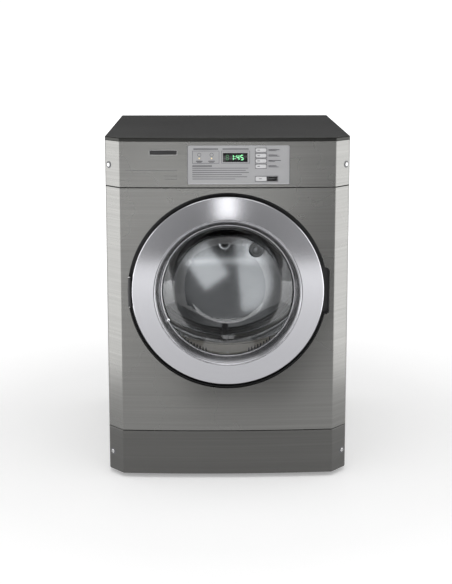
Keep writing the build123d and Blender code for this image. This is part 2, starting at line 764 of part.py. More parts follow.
def door_glass():
    """Deep bowl: a seat ring, a cone and a gently domed end of even thickness."""
    seat_y = door_front_y + window_depth + 2.5
    t = glass_wall
    outer = Polyline((0, glass_rear_y), (120, glass_rear_y - 5), (152, glass_rear_y - 18), (183, seat_y + t),
                     (198, seat_y + t), (198, seat_y), (182, seat_y), (149, glass_rear_y - 20.5),
                     (119, glass_rear_y - 5 - t), (0, glass_rear_y - t), close=True)
    rounds = ((152, glass_rear_y - 18, 16.0), (149, glass_rear_y - 20.5, 12.0),
              (120, glass_rear_y - 5, 60.0), (119, glass_rear_y - 5 - t, 60.0))
    return Pos(0, 0, door_z) * revolve(rounded(make_face(outer), rounds), Axis.Y, 360)


def door_inner_frame():
    """Pressed annular plate behind the ring; it clamps the glass seat."""
    y = door_back_y
    seat_y = door_front_y + window_depth + 2.5 + glass_wall
    return turned([(door_r - 2.5, y), (door_r - 2.5, y + 2), (188.5, y + 2), (186.0, seat_y + 2),
                   (186.0, seat_y), (200.0, seat_y), (200.0, y)])


def door_gasket():
    y = door_back_y + 2
    return turned([(226, y), (240, y), (238, y + 4), (235, well_floor_y - 0.4), (231, well_floor_y - 0.4),
                   (228, y + 4)])


def build():
    parts = {
        "left_side_panel": side_panel(-1),
        "right_side_panel": side_panel(1),
        "rear_panel": rear_panel(),
        "base_pan": base_pan(),
        "top_cover": top_cover(),
        "control_fascia": control_fascia(),
        "control_overlay": control_overlay(),
        "badge_plate": badge_plate(),
        "front_panel": front_panel(),
        "door_well_ring": door_well_ring(),
        "kick_panel": kick_panel(),
        "cabinet_screws": cabinet_screws(),
        "front_bulkhead": front_bulkhead(),
        "rear_bulkhead": rear_bulkhead(),
        "drum_seals": drum_seals(),
        "filter_grille": filter_grille(),
        "lint_duct": lint_duct(),
        "lint_filter": lint_filter(),
        "blower_housing": blower_housing(),
        "blower_wheel": blower_wheel(),
        "exhaust_pipe": exhaust_pipe(),
        "heater_box": heater_box(),
        "heater_coil": heater_coil(),
        "motor_body": motor_body(),
        "motor_bracket": motor_bracket(),
        "motor_shaft": motor_shaft(),
        "idler_arm": idler_arm(),
        "idler_pulley": idler_pulley(),
        "idler_spring": idler_spring(),
        "drum_belt": drum_belt(),
        "drum_shell": drum_shell(),
        "drum_baffles": drum_baffles(),
        "drum_lamp": drum_lamp(),
        "roller_shafts": roller_shafts(),
        "control_board": control_board(),
        "terminal_cover": terminal_cover(),
        "power_gland": power_gland(),
        "foot_lock_nuts": foot_lock_nuts(),
        "door_ring": door_ring(),
        "door_glass": door_glass(),
        "door_inner_frame": door_inner_frame(),
        "door_gasket": door_gasket(),
        "door_strike": door_strike(),
        "door_hinge_arm": door_hinge_arm(),
        "hinge_bracket": hinge_bracket(),
        "hinge_pin": hinge_pin(),
        "door_catch": door_catch(),
        "door_switch": door_switch(),
        "door_switch_plunger": door_switch_plunger(),
    }
    for side, spot in zip(("left", "right"), roller_spots()):
        parts[f"{side}_drum_roller"] = roller(*spot)
    for i, (x, z, size) in enumerate(key_table()):
        name = "start_key" if i == len(key_zs) else f"key_{i + 1}"
        parts[name] = key(x, z, size)
    for name, spot in zip(("front_left", "front_right", "rear_left", "rear_right"), foot_spots()):
        parts[f"levelling_foot_{name}"] = foot(*spot)
    return parts


for node, solid in build().items():
    export_step(solid, f"parts/{node}.step")
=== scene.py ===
import bmesh
import bpy
import json
import math
from mathutils import Matrix, Vector


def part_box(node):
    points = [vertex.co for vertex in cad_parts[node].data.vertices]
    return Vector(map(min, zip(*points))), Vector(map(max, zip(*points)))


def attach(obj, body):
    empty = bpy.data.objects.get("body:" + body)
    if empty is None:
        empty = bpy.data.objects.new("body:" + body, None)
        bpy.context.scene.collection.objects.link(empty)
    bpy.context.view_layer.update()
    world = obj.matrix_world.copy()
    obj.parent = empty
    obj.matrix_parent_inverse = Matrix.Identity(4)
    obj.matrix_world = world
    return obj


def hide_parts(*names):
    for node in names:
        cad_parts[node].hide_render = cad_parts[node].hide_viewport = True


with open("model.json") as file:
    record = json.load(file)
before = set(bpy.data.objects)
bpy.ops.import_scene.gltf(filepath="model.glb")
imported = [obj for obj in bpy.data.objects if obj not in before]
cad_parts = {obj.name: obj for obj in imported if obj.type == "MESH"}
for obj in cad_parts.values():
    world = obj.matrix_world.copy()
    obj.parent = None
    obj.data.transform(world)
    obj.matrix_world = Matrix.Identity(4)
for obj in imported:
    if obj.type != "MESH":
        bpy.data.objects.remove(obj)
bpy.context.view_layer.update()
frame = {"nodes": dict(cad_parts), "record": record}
cad = frame["nodes"]
scene = bpy.context.scene
scene.view_settings.view_transform = "Standard"

mm = 0.001
doorLow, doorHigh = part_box("door_ring")
doorCentre = (doorLow + doorHigh) / 2
doorRadius = (doorHigh.x - doorLow.x) / 2
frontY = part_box("control_fascia")[0].y        # middle of the bowed front
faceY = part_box("control_overlay")[0].y        # front of the control overlay


view = {"x": -0.0515, "y": -3.4496, "z": 1.3234, "lens": 70.03, "sensor": 36.0, "pitch": 9.04, "yaw": 0.853,
        "shiftY": -0.17, "clipEnd": 60.0}


def makeCamera():
    data = bpy.data.cameras.new("studioCamera")
    data.lens = view["lens"]
    data.sensor_width = view["sensor"]
    data.shift_y = view["shiftY"]
    data.clip_end = view["clipEnd"]
    camera = bpy.data.objects.new("studioCamera", data)
    camera.location = (view["x"], view["y"], view["z"])
    camera.rotation_euler = (math.radians(90 - view["pitch"]), 0, math.radians(-view["yaw"]))
    scene.collection.objects.link(camera)
    scene.camera = camera
    print("camera ready")


# strength of the walls by direction, and the even white that the camera sees
studio = {"front": 0.25, "sides": 0.45, "behind": -0.21, "above": 0.30, "seen": 1.05}


def makeWorld():
    world = bpy.data.worlds.new("studioWalls")
    world.use_nodes = True
    scene.world = world
    tree = world.node_tree
    tree.nodes.clear()
    add, join = tree.nodes.new, tree.links.new
    coord = add("ShaderNodeTexCoord")
    split = add("ShaderNodeSeparateXYZ")
    join(coord.outputs["Generated"], split.inputs[0])
    across, along, up = split.outputs
    sideways = mathStep(tree, "POWER", mathStep(tree, "ABSOLUTE", across, 0), 2.0)
    sides = mathStep(tree, "MULTIPLY", sideways, studio["sides"])
    behind = mathStep(tree, "MULTIPLY", mathStep(tree, "MAXIMUM", along, 0.0), studio["behind"])
    above = mathStep(tree, "MULTIPLY", mathStep(tree, "MAXIMUM", up, 0.0), studio["above"])
    level = mathStep(tree, "ADD", sides, behind)
    total = mathStep(tree, "ADD", level, mathStep(tree, "ADD", above, studio["front"]))
    path = add("ShaderNodeLightPath")
    mix = add("ShaderNodeMix")
    mix.data_type = "FLOAT"
    join(path.outputs["Is Camera Ray"], mix.inputs[0])
    join(total, mix.inputs[2])
    mix.inputs[3].default_value = studio["seen"]
    background = add("ShaderNodeBackground")
    background.inputs["Color"].default_value = (1, 1, 1, 1)
    join(mix.outputs[0], background.inputs["Strength"])
    out = add("ShaderNodeOutputWorld")
    join(background.outputs[0], out.inputs[0])
    print("world ready")


# lit: the only pieces it reaches; unlit: pieces it doesn't reach
def areaLight(name, place, aim, size, radiance, lit=(), unlit=(), turn=0.0):
    data = bpy.data.lights.new(name, "AREA")
    data.shape = "RECTANGLE"
    data.size, data.size_y = size
    data.energy = radiance * math.pi * size[0] * size[1]
    lamp = bpy.data.objects.new(name, data)
    lamp.location = place
    away = (Vector(place) - Vector(aim)).to_track_quat("Z", "Y").to_matrix()
    lamp.rotation_euler = (away @ Matrix.Rotation(turn, 3, "Z")).to_euler()
    lamp.visible_camera = False
    scene.collection.objects.link(lamp)
    if lit or unlit:
        group = bpy.data.collections.new(name + "Reach")
        for node in lit or unlit:
            group.objects.link(cad.get(node) or bpy.data.objects[node])
        if unlit:
            for row in group.collection_objects:
                row.light_linking.link_state = "EXCLUDE"
        lamp.light_linking.receiver_collection = group


inDrum = ["rear_bulkhead", "drum_shell", "drum_baffles", "filter_grille", "lint_filter", "drum_lamp"]
floorOnly = ["studioFloor"]

# name, place, aim, size, radiance, pieces it doesn't reach
softboxes = (
    ("topSoftbox", (0.02, -3.0, 2.12), (0, -0.35, 0.82), (0.50, 0.9), 2.6, inDrum),
    ("ceilingSoftbox", (0, -0.9, 3.6), (0, -0.2, 0.6), (3.4, 2.8), 1.25, ()),
    ("rearSoftbox", (0, 3.6, 3.0), (0, 0.4, 0.6), (3.0, 1.4), 1.0, ()),
    ("leftSoftbox", (-1.15, -0.42, 0.66), (0, -0.42, 0.66), (0.9, 1.28), 1.7, floorOnly),
    ("rightSoftbox", (1.15, -0.42, 0.66), (0, -0.42, 0.66), (0.9, 1.28), 1.7, floorOnly),
    ("lowSoftbox", (0.02, -4.2, 0.17), (0, -0.35, 0.8), (1.9, 0.3), 3.4, inDrum + floorOnly),
)

# name, place, size, radiance, turn in degrees: seen only in the polished wall at the back of the drum
drumGlows = (
    ("drumGlowLeft", (0.44, -2.0, 0.46), (0.56, 0.9), 1.6, 35),
    ("drumGlowRight", (-0.66, -2.0, 0.70), (0.84, 1.45), 1.3, 7),
)


def makeLights():
    for name, place, aim, size, radiance, unlit in softboxes:
        areaLight(name, place, aim, size, radiance, unlit=unlit)
    for name, place, size, radiance, turn in drumGlows:
        aim = (place[0], 0.0, place[2])
        areaLight(name, place, aim, size, radiance, lit=inDrum, turn=math.radians(turn))
    print("lights ready")


# glow and distance give how the floor brightens away from the cabinet
sweep = {"size": 60.0, "tones": ((0.88, 0.88, 0.88), (0.9, 0.9, 0.9)), "patches": 0.7, "rough": 0.7,
         "gloss": 0.1, "glow": (0.3, 0.95), "distance": (0.8, 4.0)}


def makeFloor():
    mesh = bpy.data.meshes.new("studioFloor")
    shape = bmesh.new()
    bmesh.ops.create_grid(shape, x_segments=1, y_segments=1, size=sweep["size"])
    shape.to_mesh(mesh)
    shape.free()
    floor = bpy.data.objects.new("studioFloor", mesh)
    scene.collection.objects.link(floor)
    mat, tree, shader = newMaterial("paleFloor")
    tone = noise(tree, objectPoint(tree), sweep["patches"])
    tree.links.new(blendColour(tree, tone, *sweep["tones"]), shader.inputs["Base Color"])
    shader.inputs["Roughness"].default_value = sweep["rough"]
    shader.inputs["Specular IOR Level"].default_value = sweep["gloss"]
    shader.inputs["Emission Color"].default_value = (1, 1, 1, 1)
    reach = vectorStep(tree, "LENGTH", objectPoint(tree)).outputs["Value"]
    glow = spread(tree, reach, *sweep["glow"], *sweep["distance"])
    tree.links.new(glow, shader.inputs["Emission Strength"])
    mat.cycles.emission_sampling = "NONE"
    mesh.materials.append(mat)
    print("floor ready")


# lies on the floor in front and widens away from the cabinet; only reflections show it
card = {"low": (-0.13, -8.0, 0.001), "high": (0.29, -1.05, 0.003), "widen": 12.0, "black": (0.02, 0.02, 0.02),
        "rough": 0.9}


def makeCard():
    mesh = bpy.data.meshes.new("blackCard")
    shape = bmesh.new()
    addBlock(shape, card["low"], card["high"])
    middle = (card["low"][1] + card["high"][1]) / 2
    far = [v for v in shape.verts if v.co.y < middle]
    bmesh.ops.scale(shape, vec=(card["widen"], 1, 1), verts=far)
    shape.to_mesh(mesh)
    shape.free()
    flag = bpy.data.objects.new("blackCard", mesh)
    flag.visible_camera = False
    flag.visible_shadow = False
    flag.visible_diffuse = False
    scene.collection.objects.link(flag)
    mesh.materials.append(speckledMaterial("cardBlack", card["black"], card["rough"]))
    print("card ready")


def newMaterial(name):
    mat = bpy.data.materials.new(name)
    mat.use_nodes = True
    tree = mat.node_tree
    tree.nodes.clear()
    out = tree.nodes.new("ShaderNodeOutputMaterial")
    shader = tree.nodes.new("ShaderNodeBsdfPrincipled")
    tree.links.new(shader.outputs[0], out.inputs["Surface"])
    return mat, tree, shader


def mathStep(tree, operation, first, second):
    node = tree.nodes.new("ShaderNodeMath")
    node.operation = operation
    for socket, value in zip(node.inputs, (first, second)):
        if isinstance(value, (int, float)):
            socket.default_value = value
        else:
            tree.links.new(value, socket)
    return node.outputs[0]


def vectorStep(tree, operation, first, second=None):
    node = tree.nodes.new("ShaderNodeVectorMath")
    node.operation = operation
    tree.links.new(first, node.inputs[0])
    if isinstance(second, float):
        node.inputs["Scale"].default_value = second
    elif isinstance(second, tuple):
        node.inputs[1].default_value = second
    elif second is not None:
        tree.links.new(second, node.inputs[1])
    return node


def objectPoint(tree, scale=(1, 1, 1), shift=(0, 0, 0)):
    coord = tree.nodes.new("ShaderNodeTexCoord")
    mapping = tree.nodes.new("ShaderNodeMapping")
    mapping.inputs["Scale"].default_value = scale
    mapping.inputs["Location"].default_value = shift
    tree.links.new(coord.outputs["Object"], mapping.inputs["Vector"])
    return mapping.outputs[0]


def noise(tree, point, scale, detail=3.0, rough=0.55):
    node = tree.nodes.new("ShaderNodeTexNoise")
    node.inputs["Scale"].default_value = scale
    node.inputs["Detail"].default_value = detail
    node.inputs["Roughness"].default_value = rough
    tree.links.new(point, node.inputs["Vector"])
    return node.outputs["Fac"]


def spread(tree, value, low, high, start=0.3, end=0.7):
    node = tree.nodes.new("ShaderNodeMapRange")
    node.inputs["From Min"].default_value = start
    node.inputs["From Max"].default_value = end
    node.inputs["To Min"].default_value = low
    node.inputs["To Max"].default_value = high
    tree.links.new(value, node.inputs["Value"])
    return node.outputs[0]


def blendColour(tree, factor, first, second):
    node = tree.nodes.new("ShaderNodeMix")
    node.data_type = "RGBA"
    for socket, value in ((node.inputs[6], first), (node.inputs[7], second)):
        if isinstance(value, tuple):
            socket.default_value = (*value, 1)
        else:
            tree.links.new(value, socket)
    tree.links.new(factor, node.inputs[0])
    return node.outputs[2]


def bumpFrom(tree, shader, height, depth, strength):
    node = tree.nodes.new("ShaderNodeBump")
    node.inputs["Strength"].default_value = strength
    node.inputs["Distance"].default_value = depth
    tree.links.new(height, node.inputs["Height"])
    tree.links.new(node.outputs[0], shader.inputs["Normal"])


def shaded(colour, share):
    return tuple(c * share for c in colour)


# scales of the slow patches and smudges, and the shares they take or give
speckle = {"patches": 7.0, "smudges": 23.0, "fineShare": 0.97, "roughShares": (0.88, 1.12), "bump": 0.5}


def speckledMaterial(name, colour, rough=0.5, metallic=0.0, grain=900.0, depth=0.00003, change=0.88,
                     coat=0.0):
    s = speckle
    smooth, coarse = (rough * share for share in s["roughShares"])
    mat, tree, shader = newMaterial(name)
    point = objectPoint(tree)
    patch = noise(tree, point, s["patches"])
    fine = noise(tree, point, grain, 2.0)
    smudge = noise(tree, point, s["smudges"], 4.0)
    tone = blendColour(tree, spread(tree, patch, 0, 1), shaded(colour, change), colour)
    tone = blendColour(tree, spread(tree, fine, 0, 1), shaded(colour, change * s["fineShare"]), tone)
    tree.links.new(tone, shader.inputs["Base Color"])
    tree.links.new(spread(tree, smudge, smooth, min(coarse, 1.0)), shader.inputs["Roughness"])
    shader.inputs["Metallic"].default_value = metallic
    shader.inputs["Coat Weight"].default_value = coat
    bumpFrom(tree, shader, fine, depth, s["bump"])
    return mat


# wide streaks are broad times as fine as the scratches; clouds is the scale of the worn areas
brushing = {"broad": 0.14, "broadShift": (3, 1, 7), "broadTone": 0.6, "broadShare": 0.7, "clouds": 3.0,
            "roughShares": (0.92, 1.1), "bump": 0.6}


# long fine scratches: grain gives how fast the streaks change along x, y and z
def brushedMaterial(name, colour, rough, depth, change=0.86, grain=(2.0, 2.0, 260)):
    b = brushing
    smooth, coarse = (rough * share for share in b["roughShares"])
    mat, tree, shader = newMaterial(name)
    fine = noise(tree, objectPoint(tree, grain), 1.0, 1.5, 0.6)
    broad = noise(tree, objectPoint(tree, shaded(grain, b["broad"]), b["broadShift"]), 1.0, 3.0)
    cloud = noise(tree, objectPoint(tree), b["clouds"])
    tone = blendColour(tree, spread(tree, fine, 0, 1), shaded(colour, change), colour)
    wide = shaded(colour, 1 - (1 - change) * b["broadShare"])
    tone = blendColour(tree, spread(tree, broad, 0, b["broadTone"]), tone, wide)
    tree.links.new(tone, shader.inputs["Base Color"])
    tree.links.new(spread(tree, cloud, smooth, coarse), shader.inputs["Roughness"])
    shader.inputs["Metallic"].default_value = 1.0
    if depth:
        bumpFrom(tree, shader, fine, depth, b["bump"])
    return mat


# flow is how fast the scratches change on their way round
spinning = {"flow": 2.0, "clouds": 5.0, "roughShares": (0.85, 1.15), "bump": 0.5}


# scratches that run round the door's axis, as on a spun or polished pressing
def spunMaterial(name, colour, rough, depth, change=0.96, rings=700.0):
    s = spinning
    smooth, coarse = (rough * share for share in s["roughShares"])
    mat, tree, shader = newMaterial(name)
    point = objectPoint(tree, shift=(0, 0, -doorCentre.z))
    flat = vectorStep(tree, "MULTIPLY", point, (1, 0, 1)).outputs[0]
    radius = vectorStep(tree, "LENGTH", flat).outputs["Value"]
    split = tree.nodes.new("ShaderNodeSeparateXYZ")
    tree.links.new(point, split.inputs[0])
    join = tree.nodes.new("ShaderNodeCombineXYZ")
    tree.links.new(mathStep(tree, "MULTIPLY", radius, rings), join.inputs[0])
    tree.links.new(mathStep(tree, "MULTIPLY", split.outputs[1], rings), join.inputs[1])
    turn = vectorStep(tree, "SCALE", flat, s["flow"]).outputs[0]
    scratch = vectorStep(tree, "ADD", join.outputs[0], turn).outputs[0]
    fine = noise(tree, scratch, 1.0, 3.0, 0.6)
    cloud = noise(tree, point, s["clouds"])
    tone = blendColour(tree, spread(tree, fine, 0, 1), shaded(colour, change), colour)
    tree.links.new(tone, shader.inputs["Base Color"])
    tree.links.new(spread(tree, cloud, smooth, coarse), shader.inputs["Roughness"])
    shader.inputs["Metallic"].default_value = 1.0
    bumpFrom(tree, shader, fine, depth, s["bump"])
    return mat


glass = {"tint": (0.92, 0.93, 0.94), "smears": 9.0, "smearShare": 0.93, "rough": (0.02, 0.06), "ior": 1.45}


def glassMaterial(name):
    g = glass
    mat, tree, shader = newMaterial(name)
    tree.nodes.remove(shader)
    add, join = tree.nodes.new, tree.links.new
    clear = add("ShaderNodeBsdfTransparent")
    gloss = add("ShaderNodeBsdfGlossy")
    fresnel = add("ShaderNodeFresnel")
    fresnel.inputs["IOR"].default_value = g["ior"]
    mix = add("ShaderNodeMixShader")
    smear = noise(tree, objectPoint(tree), g["smears"])
    tone = blendColour(tree, spread(tree, smear, 0, 1), g["tint"], shaded(g["tint"], g["smearShare"]))
    join(tone, clear.inputs["Color"])
    join(spread(tree, smear, *g["rough"]), gloss.inputs["Roughness"])
    join(fresnel.outputs[0], mix.inputs[0])
    join(clear.outputs[0], mix.inputs[1])
    join(gloss.outputs[0], mix.inputs[2])
    out = [n for n in tree.nodes if n.type == "OUTPUT_MATERIAL"][0]
    join(mix.outputs[0], out.inputs["Surface"])
    return mat


lightUp = {"speckle": 600.0, "darkShare": 0.85, "baseShare": 0.5, "rough": 0.4}


def glowMaterial(name, colour, strength):
    mat, tree, shader = newMaterial(name)
    glow = noise(tree, objectPoint(tree), lightUp["speckle"])
    tone = blendColour(tree, spread(tree, glow, 0, 1), shaded(colour, lightUp["darkShare"]), colour)
    tree.links.new(tone, shader.inputs["Emission Color"])
    shader.inputs["Base Color"].default_value = (*shaded(colour, lightUp["baseShare"]), 1)
    shader.inputs["Emission Strength"].default_value = strength
    shader.inputs["Roughness"].default_value = lightUp["rough"]
    return mat


# a zinc coating's crystals
zinc = {"colour": (0.55, 0.56, 0.58), "crystals": 90.0, "darkShare": 0.84, "rough": (0.36, 0.52),
        "metallic": 0.9, "ripple": 160.0, "depth": 0.00004, "bump": 0.4}


def spangledMaterial(name):
    z = zinc
    mat, tree, shader = newMaterial(name)
    point = objectPoint(tree)
    cells = tree.nodes.new("ShaderNodeTexVoronoi")
    cells.inputs["Scale"].default_value = z["crystals"]
    tree.links.new(point, cells.inputs["Vector"])
    grey = tree.nodes.new("ShaderNodeSeparateColor")
    tree.links.new(cells.outputs["Color"], grey.inputs[0])
    tone = blendColour(tree, grey.outputs[0], shaded(z["colour"], z["darkShare"]), z["colour"])
    tree.links.new(tone, shader.inputs["Base Color"])
    tree.links.new(spread(tree, grey.outputs[1], *z["rough"], 0, 1), shader.inputs["Roughness"])
    shader.inputs["Metallic"].default_value = z["metallic"]
    bumpFrom(tree, shader, noise(tree, point, z["ripple"]), z["depth"], z["bump"])
    return mat


# pressed wool: short random fibres
wool = {"colour": (0.42, 0.40, 0.36), "fibres": 700.0, "clumps": 60.0, "fibreShare": 0.6, "clumpTone": 0.5,
        "clumpShare": 0.75, "rough": (0.85, 1.0), "sheen": 0.4, "depth": 0.0004, "bump": 0.8}


def feltMaterial(name):
    w = wool
    mat, tree, shader = newMaterial(name)
    point = objectPoint(tree)
    fibre = noise(tree, point, w["fibres"], 5.0, 0.8)
    clump = noise(tree, point, w["clumps"])
    tone = blendColour(tree, spread(tree, fibre, 0, 1), shaded(w["colour"], w["fibreShare"]), w["colour"])
    matted = shaded(w["colour"], w["clumpShare"])
    tone = blendColour(tree, spread(tree, clump, 0, w["clumpTone"]), tone, matted)
    tree.links.new(tone, shader.inputs["Base Color"])
    tree.links.new(spread(tree, fibre, *w["rough"]), shader.inputs["Roughness"])
    shader.inputs["Sheen Weight"].default_value = w["sheen"]
    bumpFrom(tree, shader, fibre, w["depth"], w["bump"])
    return mat


finishes = {
    "front": {"colour": (0.215, 0.214, 0.207), "rough": 0.27, "depth": 0, "change": 0.84},
    # kick: the front's brushed steel with a darker colour, painted shade at the foot of the cabinet
    "kick": {"colour": (0.130, 0.129, 0.125), "rough": 0.34, "depth": 0.000002},
    "side": {"colour": (0.25, 0.249, 0.243), "rough": 0.36, "depth": 0.000003},
    "lid": {"colour": (0.036, 0.036, 0.034), "rough": 0.24, "depth": 0.000002, "grain": (2.0, 260, 260)},
    "overlay": {"colour": (0.44, 0.44, 0.45), "rough": 0.4, "metallic": 0.5, "grain": 2500.0},
    "door": {"colour": (0.50, 0.50, 0.525), "rough": 0.20, "depth": 0.0000004, "rings": 300.0},
    "drum": {"colour": (0.42, 0.42, 0.42), "rough": 0.12, "depth": 0.000002},
    "dish": {"colour": (0.42, 0.42, 0.42), "rough": 0.12, "depth": 0.000001, "change": 0.97, "rings": 500.0},
    "chrome": {"colour": (0.8, 0.8, 0.82), "rough": 0.08, "depth": 0.000002, "rings": 200.0},
    "sleeve": {"colour": (0.52, 0.52, 0.54), "rough": 0.22, "depth": 0.000002, "change": 0.95,
               "rings": 200.0},
}


def makeMaterials():
    kit = {}
    kit["cabinet_silver"] = brushedMaterial("brushedFront", **finishes["front"])
    # the kick's darker colour is painted shade
    kit["kick"] = brushedMaterial("brushedKickPaintedShade", **finishes["kick"])
    kit["side_silver"] = brushedMaterial("brushedSide", **finishes["side"])
    kit["lid_grey"] = brushedMaterial("brushedLid", **finishes["lid"])
    kit["overlay_silver"] = speckledMaterial("satinOverlay", **finishes["overlay"])
    kit["gloss_black"] = speckledMaterial("glossBlack", (0.012, 0.012, 0.013), 0.12, depth=0.000005)
    kit["matte_black"] = speckledMaterial("matteBlack", (0.03, 0.03, 0.032), 0.5)
    kit["door_silver"] = spunMaterial("spunDoor", **finishes["door"])
    kit["window_glass"] = glassMaterial("windowGlass")
    kit["key_grey"] = speckledMaterial("keyGrey", (0.62, 0.62, 0.63), 0.42)
    kit["galvanised"] = spangledMaterial("zincCoat")
    kit["drum_steel"] = spunMaterial("spunDrum", **finishes["drum"])
    kit["dish"] = spunMaterial("spunDish", **finishes["dish"])
    kit["screw_steel"] = speckledMaterial("screwSteel", (0.6, 0.6, 0.6), 0.22, 1.0, depth=0.00001)
    kit["shaft_steel"] = speckledMaterial("shaftSteel", (0.5, 0.5, 0.52), 0.3, 1.0)
    kit["black_rubber"] = speckledMaterial("blackRubber", (0.022, 0.022, 0.023), 0.7)
    kit["felt"] = feltMaterial("woolFelt")
    kit["beige_plastic"] = speckledMaterial("beigePlastic", (0.60, 0.54, 0.45), 0.42)
    kit["white_plastic"] = speckledMaterial("whitePlastic", (0.72, 0.71, 0.68), 0.45)
    kit["board_green"] = speckledMaterial("boardGreen", (0.02, 0.12, 0.05), 0.35)
    kit["lamp_lens"] = speckledMaterial("lampLens", (0.72, 0.74, 0.76), 0.16, 0.25, coat=0.5)
    kit["aluminium"] = speckledMaterial("castAluminium", (0.62, 0.62, 0.63), 0.38, 1.0)
    kit["ink"] = speckledMaterial("greyInk", (0.10, 0.10, 0.11), 0.5)
    kit["paleInk"] = speckledMaterial("paleInk", (0.62, 0.62, 0.64), 0.45)
    kit["chrome"] = spunMaterial("chromeTrim", **finishes["chrome"])
    kit["darkTrim"] = spunMaterial("smokedChrome", **finishes["sleeve"])
    kit["digitGreen"] = glowMaterial("digitGreen", (0.30, 1.0, 0.45), 1.3)
    # unlit segments get a faint painted glow, though they give no light
    kit["digitGhostPaintedGlow"] = glowMaterial("digitGhostPaintedGlow", (0.10, 0.35, 0.15), 0.15)
    kit["ledAmber"] = glowMaterial("ledAmber", (0.95, 0.75, 0.35), 0.6)
    print("materials ready")
    return kit


# nodes whose finish differs from that of their slot; the kick's darker colour is painted shade at the foot of
# the cabinet
ownFinish = {"kick_panel": "kick", "rear_bulkhead": "dish"}


def dressCad(kit):
    slotOf = {row["node"]: row["material_slot"] for row in frame["record"]["subparts"]}
    slotOf.update(ownFinish)
    for name, piece in cad.items():
        mat = kit[slotOf[name]]
        if not piece.material_slots:
            piece.data.materials.append(mat)
        for place in piece.material_slots:
            place.material = mat
    print("CAD pieces dressed")


def newPiece(name, shape, mat, body, sharp=35.0, tidy=True):
    if tidy:
        bmesh.ops.remove_doubles(shape, verts=shape.verts, dist=0.000001)
        bmesh.ops.recalc_face_normals(shape, faces=shape.faces)
    for face in shape.faces:
        face.smooth = True
    mesh = bpy.data.meshes.new(name)
    shape.to_mesh(mesh)
    shape.free()
    mesh.set_sharp_from_angle(angle=math.radians(sharp))
    mesh.materials.append(mat)
    piece = bpy.data.objects.new(name, mesh)
    scene.collection.objects.link(piece)
    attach(piece, body)
    return piece


def bevelEdges(shape, edges, offset, segments):
    bmesh.ops.bevel(shape, geom=edges, offset=offset, segments=segments, profile=0.5, material=-1,
                    affect="EDGES")


def addBlock(shape, low, high, bevel=0.0, segments=2):
    low, high = Vector(low), Vector(high)
    place = Matrix.Translation((low + high) / 2) @ Matrix.Diagonal((*(high - low), 1.0))
    made = bmesh.ops.create_cube(shape, size=1.0, matrix=place)["verts"]
    if bevel:
        bevelEdges(shape, list({e for v in made for e in v.link_edges}), bevel, segments)


# a profile of (radius, y) turned round an axis along y; rounds gives some corners a bevel
def addRing(shape, points, centre=(0, 0), steps=192, rounds=None, closed=True):
    x, z = centre
    verts = [shape.verts.new((x + r, y, z)) for r, y in points]
    pairs = list(zip(verts, verts[1:] + verts[:1])) if closed else list(zip(verts, verts[1:]))
    edges = [shape.edges.new(p) for p in pairs]
    bmesh.ops.spin(shape, geom=verts + edges, cent=(x, 0, z), axis=(0, 1, 0), angle=2 * math.pi, steps=steps,
                   use_merge=True)
    bmesh.ops.remove_doubles(shape, verts=shape.verts, dist=0.000001)
    near = 0.00001
    for index, (offset, segments) in (rounds or {}).items():
        radius, y = points[index]
        corner = {v for v in shape.verts if abs(v.co.y - y) < near
                  and abs(math.hypot(v.co.x - x, v.co.z - z) - radius) < near}
        ring = [e for e in shape.edges if corner.issuperset(e.verts)]
        bevelEdges(shape, ring, offset, segments)


# rimIn, lipIn and seatIn are depths behind the door's front; rounds is by corner of the profile
door = {"z": doorCentre.z, "front": doorLow.y, "back": doorHigh.y, "rimIn": 0.021, "lipIn": 0.001,
        "lipBackIn": 0.0031, "windowR": 0.205, "lipWall": 0.0015, "seatR": 0.190, "seatIn": 0.028,
        "seatWalls": (0.005, 0.003), "wall": 0.0025, "steps": 288, "sharp": 40.0,
        "rounds": {1: (0.0042, 8), 2: (0.0048, 8), 3: (0.0006, 3), 8: (0.002, 3), 0: (0.0004, 2)}}


def makeDoorRing(kit):
    d = door
    rimY = d["front"] + d["rimIn"]
    lipY = d["front"] + d["lipIn"]
    seatY = d["front"] + d["seatIn"]
    wall = d["wall"]
    outer, inner = d["seatWalls"]
    points = [
        (doorRadius, d["back"]), (doorRadius, rimY), (d["windowR"], lipY), (d["seatR"], seatY),
        (d["seatR"], seatY + wall), (d["seatR"] + outer, seatY + wall), (d["seatR"] + inner, seatY),
        (d["windowR"] + d["lipWall"], d["front"] + d["lipBackIn"]), (doorRadius - wall, rimY + wall),
        (doorRadius - wall, d["back"]),
    ]
    shape = bmesh.new()
    addRing(shape, points, (0, d["z"]), d["steps"], d["rounds"])
    ring = newPiece("doorRing", shape, kit["door_silver"], "door", d["sharp"])
    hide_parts("door_ring")
    print("door ring ready")


# the bowl's two faces as (radius, height above its bottom), from the middle outwards and back
bowl = {"drumSide": ((0, 0), (0.06, 0.0012), (0.12, 0.005), (0.152, 0.018)), "neckRs": (0.183, 0.182),
        "flangeR": 0.198, "flangeWall": 0.004,
        "roomSide": ((0.149, 0.0205), (0.119, 0.009), (0.06, 0.0052), (0, 0.004)),
        "steps": 224, "sharp": 50.0,
        "rounds": {3: (0.006, 6), 8: (0.005, 6), 2: (0.02, 5), 9: (0.02, 5), 4: (0.002, 4), 7: (0.002, 4)}}


def makeDoorGlass(kit):
    b = bowl
    low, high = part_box("door_glass")
    front, back = low.y, high.y
    rear = front + b["flangeWall"]
    outer, inner = b["neckRs"]
    points = [(r, back - rise) for r, rise in b["drumSide"]]
    points += [(outer, rear), (b["flangeR"], rear), (b["flangeR"], front), (inner, front)]
    points += [(r, back - rise) for r, rise in b["roomSide"]]
    shape = bmesh.new()
    addRing(shape, points, (0, door["z"]), b["steps"], b["rounds"], closed=False)
    pane = newPiece("doorGlass", shape, kit["window_glass"], "door", b["sharp"])
    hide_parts("door_glass")
    print("door glass ready")


